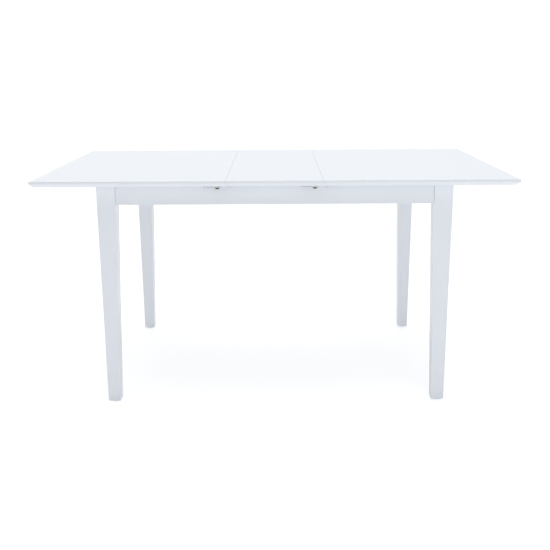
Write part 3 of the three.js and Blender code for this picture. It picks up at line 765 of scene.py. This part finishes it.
for corner, x, y in CORNERS:
    dress(f"corner_bracket_{corner}", zinc, BRACKET_ROUND, 2)
    inward = Vector((-x, -y, 0)).normalized()
    middle = middle_of(f"hanger_bolt_{corner}")
    rod = placed(bolt, f"threaded_bolt_{corner}", middle - inward * BOLT_LENGTH / 2, inward)
    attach(rod, "frame")
    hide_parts(f"hanger_bolt_{corner}")
    seat = middle + inward * (BOLT_LENGTH / 2 - BOLT_PAST_NUT - NUT_HEIGHT - WASHER_THICK)
    hex_nut = placed(nut, f"washer_and_nut_{corner}", seat, inward, NUT_TURN * (x + 2 * y))
    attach(hex_nut, "frame")
    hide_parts(f"hanger_nut_{corner}")
    low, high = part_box(f"corner_bracket_{corner}")
    outer_x, inner_x = (high[0], low[0]) if x > 0 else (low[0], high[0])
    outer_y, inner_y = (high[1], low[1]) if y > 0 else (low[1], high[1])
    spots = []
    for up in (-FLANGE_SCREW_UP, FLANGE_SCREW_UP):
        along_x = (inner_x + x * FLANGE_SCREW_IN, outer_y - y * BRACKET_SHEET, middle.z + up)
        along_y = (outer_x - x * BRACKET_SHEET, inner_y + y * FLANGE_SCREW_IN, middle.z + up)
        spots += [(along_x, (0, -y, 0)), (along_y, (-x, 0, 0))]
    screw_set(f"bracket_screws_{corner}", pan_screw, spots, "frame")
for model in (bolt, nut):
    bpy.data.objects.remove(model)

# ---------------------------------------------------------------- guide rails and stops
# Straight-grained beech, grooved along its inner face and waxed, screwed to the long aprons. A
# cross-head stop screw stands across the groove near each end.
RAIL_ROUND = 0.0007
RAIL_SCREWS = 5
RAIL_SCREW_UP = 0.0043  # from the rail's lower edge
RAIL_PLANK = (0.3, 0.11, 0.07)  # from one board to the next in the plank they are cut from
BEECH_LIGHT = (0.70, 0.48, 0.29, 1)
BEECH_TAN = (0.55, 0.34, 0.19, 1)
BEECH_FLECK = (0.33, 0.17, 0.085, 1)
BEECH_END = (0.42, 0.25, 0.14, 1)
BEECH_SQUEEZE = 0.05
STOP_SHANK = 0.0025
STOP_HEAD_HEIGHT = 0.0026
STOP_DOME = 0.0015
STOP_POINT = 0.7
STOP_TURN = 0.5
STOP_RECESS = 0.0017

# Beech: pale growth bands, short dark ray flecks, fine pores, and a darker end grain. Each four
# numbers are a noise's low and high, and what they become.
BANDS = {"Scale": 95.0, "Detail": 5.0, "Roughness": 0.6, "Distortion": 0.4}
BAND_TONES = (0.32, 0.68)
BAND_GLOSS = (0.3, 0.7, 0.46, 0.6)
PORES = {"Scale": 900.0, "Detail": 2.0}
PORE_SHADE = (0.5, 0.7, 0.0, 0.3)
PORE_RELIEF = {"Strength": 0.25, "Distance": 0.0003}
RAYS = {"Scale": 1500.0, "Detail": 0.0}
RAY_ROUND = 0.2  # how much less drawn out the flecks are than the pores
RAY_SHADE = (0.62, 0.70, 0.0, 0.55)
END_SHADE = (0.6, 0.8, 0.0, 0.8)
beech_grain, grain_in, grain_out = new_group(
    "beech_grain",
    {"Fibre Stretch": [1.0, 1.0, 1.0], "Along": [1.0, 0.0, 0.0], "Board": [0.0, 0.0, 0.0]},
    {"Color": "NodeSocketColor", "Roughness": "NodeSocketFloat", "Normal": "NodeSocketVector"},
)
board_place = add(beech_grain, "ShaderNodeTexCoord").outputs["Object"]
board_own = add(
    beech_grain, "ShaderNodeVectorMath", {0: board_place, 1: grain_in["Board"]}, operation="ADD"
).outputs["Vector"]
board_long = add(
    beech_grain,
    "ShaderNodeVectorMath",
    {0: board_own, 1: grain_in["Fibre Stretch"]},
    operation="MULTIPLY",
).outputs["Vector"]
bands = add(beech_grain, "ShaderNodeTexNoise", {"Vector": board_long, **BANDS}).outputs["Fac"]
pores = add(beech_grain, "ShaderNodeTexNoise", {"Vector": board_long, **PORES}).outputs["Fac"]
ray_place = add(
    beech_grain, "ShaderNodeMix", {0: RAY_ROUND, 4: board_long, 5: board_own}, data_type="VECTOR"
).outputs[1]
rays = add(beech_grain, "ShaderNodeTexNoise", {"Vector": ray_place, **RAYS}).outputs["Fac"]
band_mask = scaled(beech_grain, bands, *BAND_TONES)
board_tone = mixed(beech_grain, band_mask, BEECH_LIGHT, BEECH_TAN)
pored = mixed(beech_grain, scaled(beech_grain, pores, *PORE_SHADE), board_tone, BEECH_TAN)
flecked = mixed(beech_grain, scaled(beech_grain, rays, *RAY_SHADE), pored, BEECH_FLECK)
face_normal = add(beech_grain, "ShaderNodeNewGeometry").outputs["True Normal"]
facing = add(
    beech_grain,
    "ShaderNodeVectorMath",
    {0: face_normal, 1: grain_in["Along"]},
    operation="DOT_PRODUCT",
).outputs["Value"]
end_mask = scaled(beech_grain, times(beech_grain, facing, 0.0, "ABSOLUTE"), *END_SHADE)
grain_bump = add(beech_grain, "ShaderNodeBump", {"Height": pores, **PORE_RELIEF}).outputs["Normal"]
beech_grain.links.new(mixed(beech_grain, end_mask, flecked, BEECH_END), grain_out["Color"])
beech_grain.links.new(scaled(beech_grain, bands, *BAND_GLOSS), grain_out["Roughness"])
beech_grain.links.new(grain_bump, grain_out["Normal"])


def beech(name, along, board):
    """Waxed beech whose fibres run along an axis, cut from its own place in the plank."""
    made = bpy.data.materials.new(name)
    made.use_nodes = True
    tree = made.node_tree
    shader = tree.nodes["Principled BSDF"]
    grain = add(tree, "ShaderNodeGroup", node_tree=beech_grain)
    stretch = [BEECH_SQUEEZE if axis else 1.0 for axis in along]
    for socket, value in {"Fibre Stretch": stretch, "Along": along, "Board": board}.items():
        grain.inputs[socket].default_value = value
    tree.links.new(grain.outputs["Color"], shader.inputs["Base Color"])
    tree.links.new(grain.outputs["Roughness"], shader.inputs["Roughness"])
    tree.links.new(grain.outputs["Normal"], shader.inputs["Normal"])
    return made


stop_low, stop_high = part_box("stop_screw_front_left")
STOP_HEAD = (stop_high[0] - stop_low[0]) / 2
stop = start_disc("stop_screw_model", STOP_HEAD, STOP_HEAD_HEIGHT, sides=40)
pick(stop, on_top_rim, "EDGE")
bpy.ops.mesh.bevel(offset=STOP_DOME, segments=5, profile=0.6)
pick(stop, faces_down)
bpy.ops.mesh.inset(thickness=STOP_HEAD - STOP_SHANK, depth=0.0)
shank = stop_high[2] - stop_low[2] - STOP_HEAD_HEIGHT
bpy.ops.mesh.extrude_region_move(TRANSFORM_OT_translate={"value": (0, 0, -shank)})
bpy.ops.transform.resize(value=(STOP_POINT, STOP_POINT, 1))
finish_shape(smooth_up_to=30)
cut_recess(stop, STOP_HEAD_HEIGHT, width=STOP_HEAD * 1.2, depth=STOP_RECESS)
stop.data.materials.append(zinc)

for number, (end, y) in enumerate(ENDS):
    rail = f"{end}_guide_rail"
    board = (RAIL_PLANK[0] * number, RAIL_PLANK[1], RAIL_PLANK[2])
    dress(rail, beech(f"{end}_rail_beech", (1, 0, 0), board), RAIL_ROUND)
    low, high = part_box(rail)
    inner_y = low[1] if y > 0 else high[1]
    spots = []
    for step in range(RAIL_SCREWS):
        x = low[0] + (high[0] - low[0]) * (step + 0.5) / RAIL_SCREWS
        spots.append(((x, inner_y, low[2] + RAIL_SCREW_UP), (0, -y, 0)))
    screw_set(f"rail_screws_{end}", flush_screw, spots, "frame")
    for side, _ in SIDES:
        node = f"stop_screw_{end}_{side}"
        spot = middle_of(node)
        foot = (spot.x, spot.y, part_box(node)[0][2] + STOP_HEAD_HEIGHT)
        pin = placed(stop, f"cross_head_{node}", foot, (0, 0, -1), STOP_TURN + number)
        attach(pin, "frame")
        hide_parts(node)
bpy.data.objects.remove(stop)

# ---------------------------------------------------------------- runners and leaf rests
# Beech bars and round-nosed tabs, screwed up into the undersides of the two halves. The bars'
# tongues run in the rails, and the tabs reach under the leaf.
RUNNER_ROUND = 0.0010
RUNNER_SCREWS = 4
RUNNER_SCREW_IN = 0.010  # from the bar's inner edge
RUNNER_SCREW_SIZE = 1.3
RUNNER_PLANK = (0.37, 0.19, 0.23)
REST_ROUND = 0.0015
REST_SCREWS = (0.018, 0.046)  # from the seam
REST_SCREW_SIZE = 1.2
REST_PLANK = (0.53, 0.29, 0.41)

for end_number, (end, _) in enumerate(ENDS):
    for side_number, (side, x) in enumerate(SIDES):
        runner = f"runner_{end}_{side}"
        board = (RUNNER_PLANK[0] * side_number, RUNNER_PLANK[1] * end_number, RUNNER_PLANK[2])
        dress(runner, beech(f"{runner}_beech", (1, 0, 0), board), RUNNER_ROUND)
        low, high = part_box(runner)
        bar_y = low[1] + RUNNER_SCREW_IN if low[1] > 0 else high[1] - RUNNER_SCREW_IN
        spots = []
        for step in range(RUNNER_SCREWS):
            place_x = low[0] + (high[0] - low[0]) * (step + 0.5) / RUNNER_SCREWS
            spots.append(((place_x, bar_y, low[2]), (0, 0, -1)))
        screw_set(
            f"runner_screws_{end}_{side}", flush_screw, spots, f"top_{side}", RUNNER_SCREW_SIZE
        )

        rest = f"leaf_rest_{side}_{end}"
        board = (REST_PLANK[0] * side_number, REST_PLANK[1] * end_number, REST_PLANK[2])
        dress(rest, beech(f"{rest}_beech", (1, 0, 0), board), REST_ROUND)
        low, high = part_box(rest)
        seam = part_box(f"{side}_top_half")[1 if x < 0 else 0][0]
        rest_y = (low[1] + high[1]) / 2
        spots = [((seam + x * reach, rest_y, low[2]), (0, 0, -1)) for reach in REST_SCREWS]
        screw_set(f"rest_screws_{side}_{end}", flush_screw, spots, f"top_{side}", REST_SCREW_SIZE)

# ---------------------------------------------------------------- cross bearers
# Two flat beech slats across the frame, level with the aprons' lower edges, each screwed at
# its ends. The folded leaf lies on them when it is put away.
BEARER_ROUND = 0.0015
BEARER_SCREW_IN = 0.014
BEARER_SCREW_SHARES = (0.28, 0.72)  # across the slat's width
BEARER_SCREW_SIZE = 1.2
BEARER_PLANK = (0.21, 0.6, 0.33)
for number, (side, _) in enumerate(SIDES):
    bearer = f"{side}_cross_bearer"
    board = (BEARER_PLANK[0], BEARER_PLANK[1] * number, BEARER_PLANK[2])
    dress(bearer, beech(f"{bearer}_beech", (0, 1, 0), board), BEARER_ROUND)
    low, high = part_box(bearer)
    spots = []
    for _, y in ENDS:
        edge_y = high[1] if y > 0 else low[1]
        for share in BEARER_SCREW_SHARES:
            x = low[0] + (high[0] - low[0]) * share
            spots.append(((x, edge_y - y * BEARER_SCREW_IN, low[2]), (0, 0, -1)))
    screw_set(f"bearer_screws_{side}", flush_screw, spots, "frame", BEARER_SCREW_SIZE)

# ---------------------------------------------------------------- leaf hinges
# Turned brass barrels pressed into bores in the leaf's meeting edges, so that nothing shows on
# the surface.
BRASS = (0.60, 0.42, 0.17, 1)
BRASS_BROWN = (0.38, 0.25, 0.11, 1)
BRASS_PALE = (0.70, 0.54, 0.28, 1)
BRASS_WORN = (0.80, 0.63, 0.33, 1)
BARREL_ROUND = 0.0005
brass = metal(
    "turned_brass", BRASS, BRASS_BROWN, BRASS_PALE, rough=0.26, worn_tone=BRASS_WORN, wear=0.4
)
for end, _ in ENDS:
    for side, _ in SIDES:
        dress(f"hinge_barrel_{end}_{side}", brass, BARREL_ROUND, 2)

# ---------------------------------------------------------------- seam locks
# Pressed zinc-plated steel. A lever turns on a riveted stud and hooks round the keeper's pin
# across the seam. Its thumb tab is dipped in dark bronze, rubbed to brass at the tip.
BRONZE = (0.095, 0.082, 0.070, 1)
BRONZE_COOL = (0.070, 0.066, 0.064, 1)
BRONZE_WARM = (0.15, 0.115, 0.07, 1)
BRONZE_WORN = (0.52, 0.38, 0.17, 1)
LOCK_ROUND = 0.0003
LOCK_SCREW_OUT = 0.0128  # from the pivot
LOCK_PLATE = 0.0015
KEEPER_SCREW_SIDE = 0.0055
KEEPER_SCREW_IN = 0.006  # from the keeper's far end
LOCK_SCREW_SIZE = 0.8
DIP_STARTS = 0.0026  # below the lever's upper face
DIP_FULL = 0.0030
TIP_RUB = 0.0022  # the tab's lowest part is rubbed bright

bronze = metal(
    "dipped_lever", BRONZE, BRONZE_COOL, BRONZE_WARM, rough=0.33, worn_tone=BRONZE_WORN, wear=0.85
)
lever_low, lever_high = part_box("lock_lever_front_left")
dip_tree = bronze.node_tree
dip_place = add(dip_tree, "ShaderNodeTexCoord").outputs["Object"]
dip_height = add(dip_tree, "ShaderNodeSeparateXYZ", {0: dip_place}).outputs["Z"]
dipped = scaled(dip_tree, dip_height, lever_high[2] - DIP_STARTS, lever_high[2] - DIP_FULL)
rubbed = scaled(dip_tree, dip_height, lever_low[2] + TIP_RUB, lever_low[2] + TIP_RUB / 2)
for socket, plated, dark in (
    ("Tone", ZINC_TONE, BRONZE),
    ("Cool Tint", ZINC_BLUE, BRONZE_COOL),
    ("Warm Tint", ZINC_WARM, BRONZE_WARM),
):
    coated = mixed(dip_tree, dipped, plated, dark)
    lever_tone = mixed(dip_tree, rubbed, coated, BRONZE_WORN)
    dip_tree.links.new(lever_tone, dip_tree.nodes["plating"].inputs[socket])

SEAM_PIECES = (("left", "leaf"), ("leaf", "right"))
for end, _ in ENDS:
    for lock_on, keeper_on in SEAM_PIECES:
        lock_body = "top_left" if lock_on == "left" else f"leaf_{end}"
        keeper_body = "top_right" if keeper_on == "right" else f"leaf_{end}"
        base = f"lock_base_{end}_{lock_on}"
        keeper = f"keeper_{end}_{keeper_on}"
        dress(base, zinc, LOCK_ROUND, 2)
        dress(f"lock_lever_{end}_{lock_on}", bronze, LOCK_ROUND, 2)
        dress(keeper, zinc, LOCK_ROUND, 2)
        pivot = middle_of(base)
        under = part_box(base)[1][2] - LOCK_PLATE
        outs = (-LOCK_SCREW_OUT, LOCK_SCREW_OUT)
        spots = [((pivot.x + out, pivot.y, under), (0, 0, -1)) for out in outs]
        screw_set(f"lock_screws_{end}_{lock_on}", flush_screw, spots, lock_body, LOCK_SCREW_SIZE)
        plate = middle_of(keeper)
        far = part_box(keeper)[1][0] - KEEPER_SCREW_IN
        asides = (-KEEPER_SCREW_SIDE, KEEPER_SCREW_SIDE)
        spots = [((far, plate.y + aside, under), (0, 0, -1)) for aside in asides]
        screw_set(
            f"keeper_screws_{end}_{keeper_on}", flush_screw, spots, keeper_body, LOCK_SCREW_SIZE
        )

for model in (flush_screw, pan_screw):
    bpy.data.objects.remove(model)
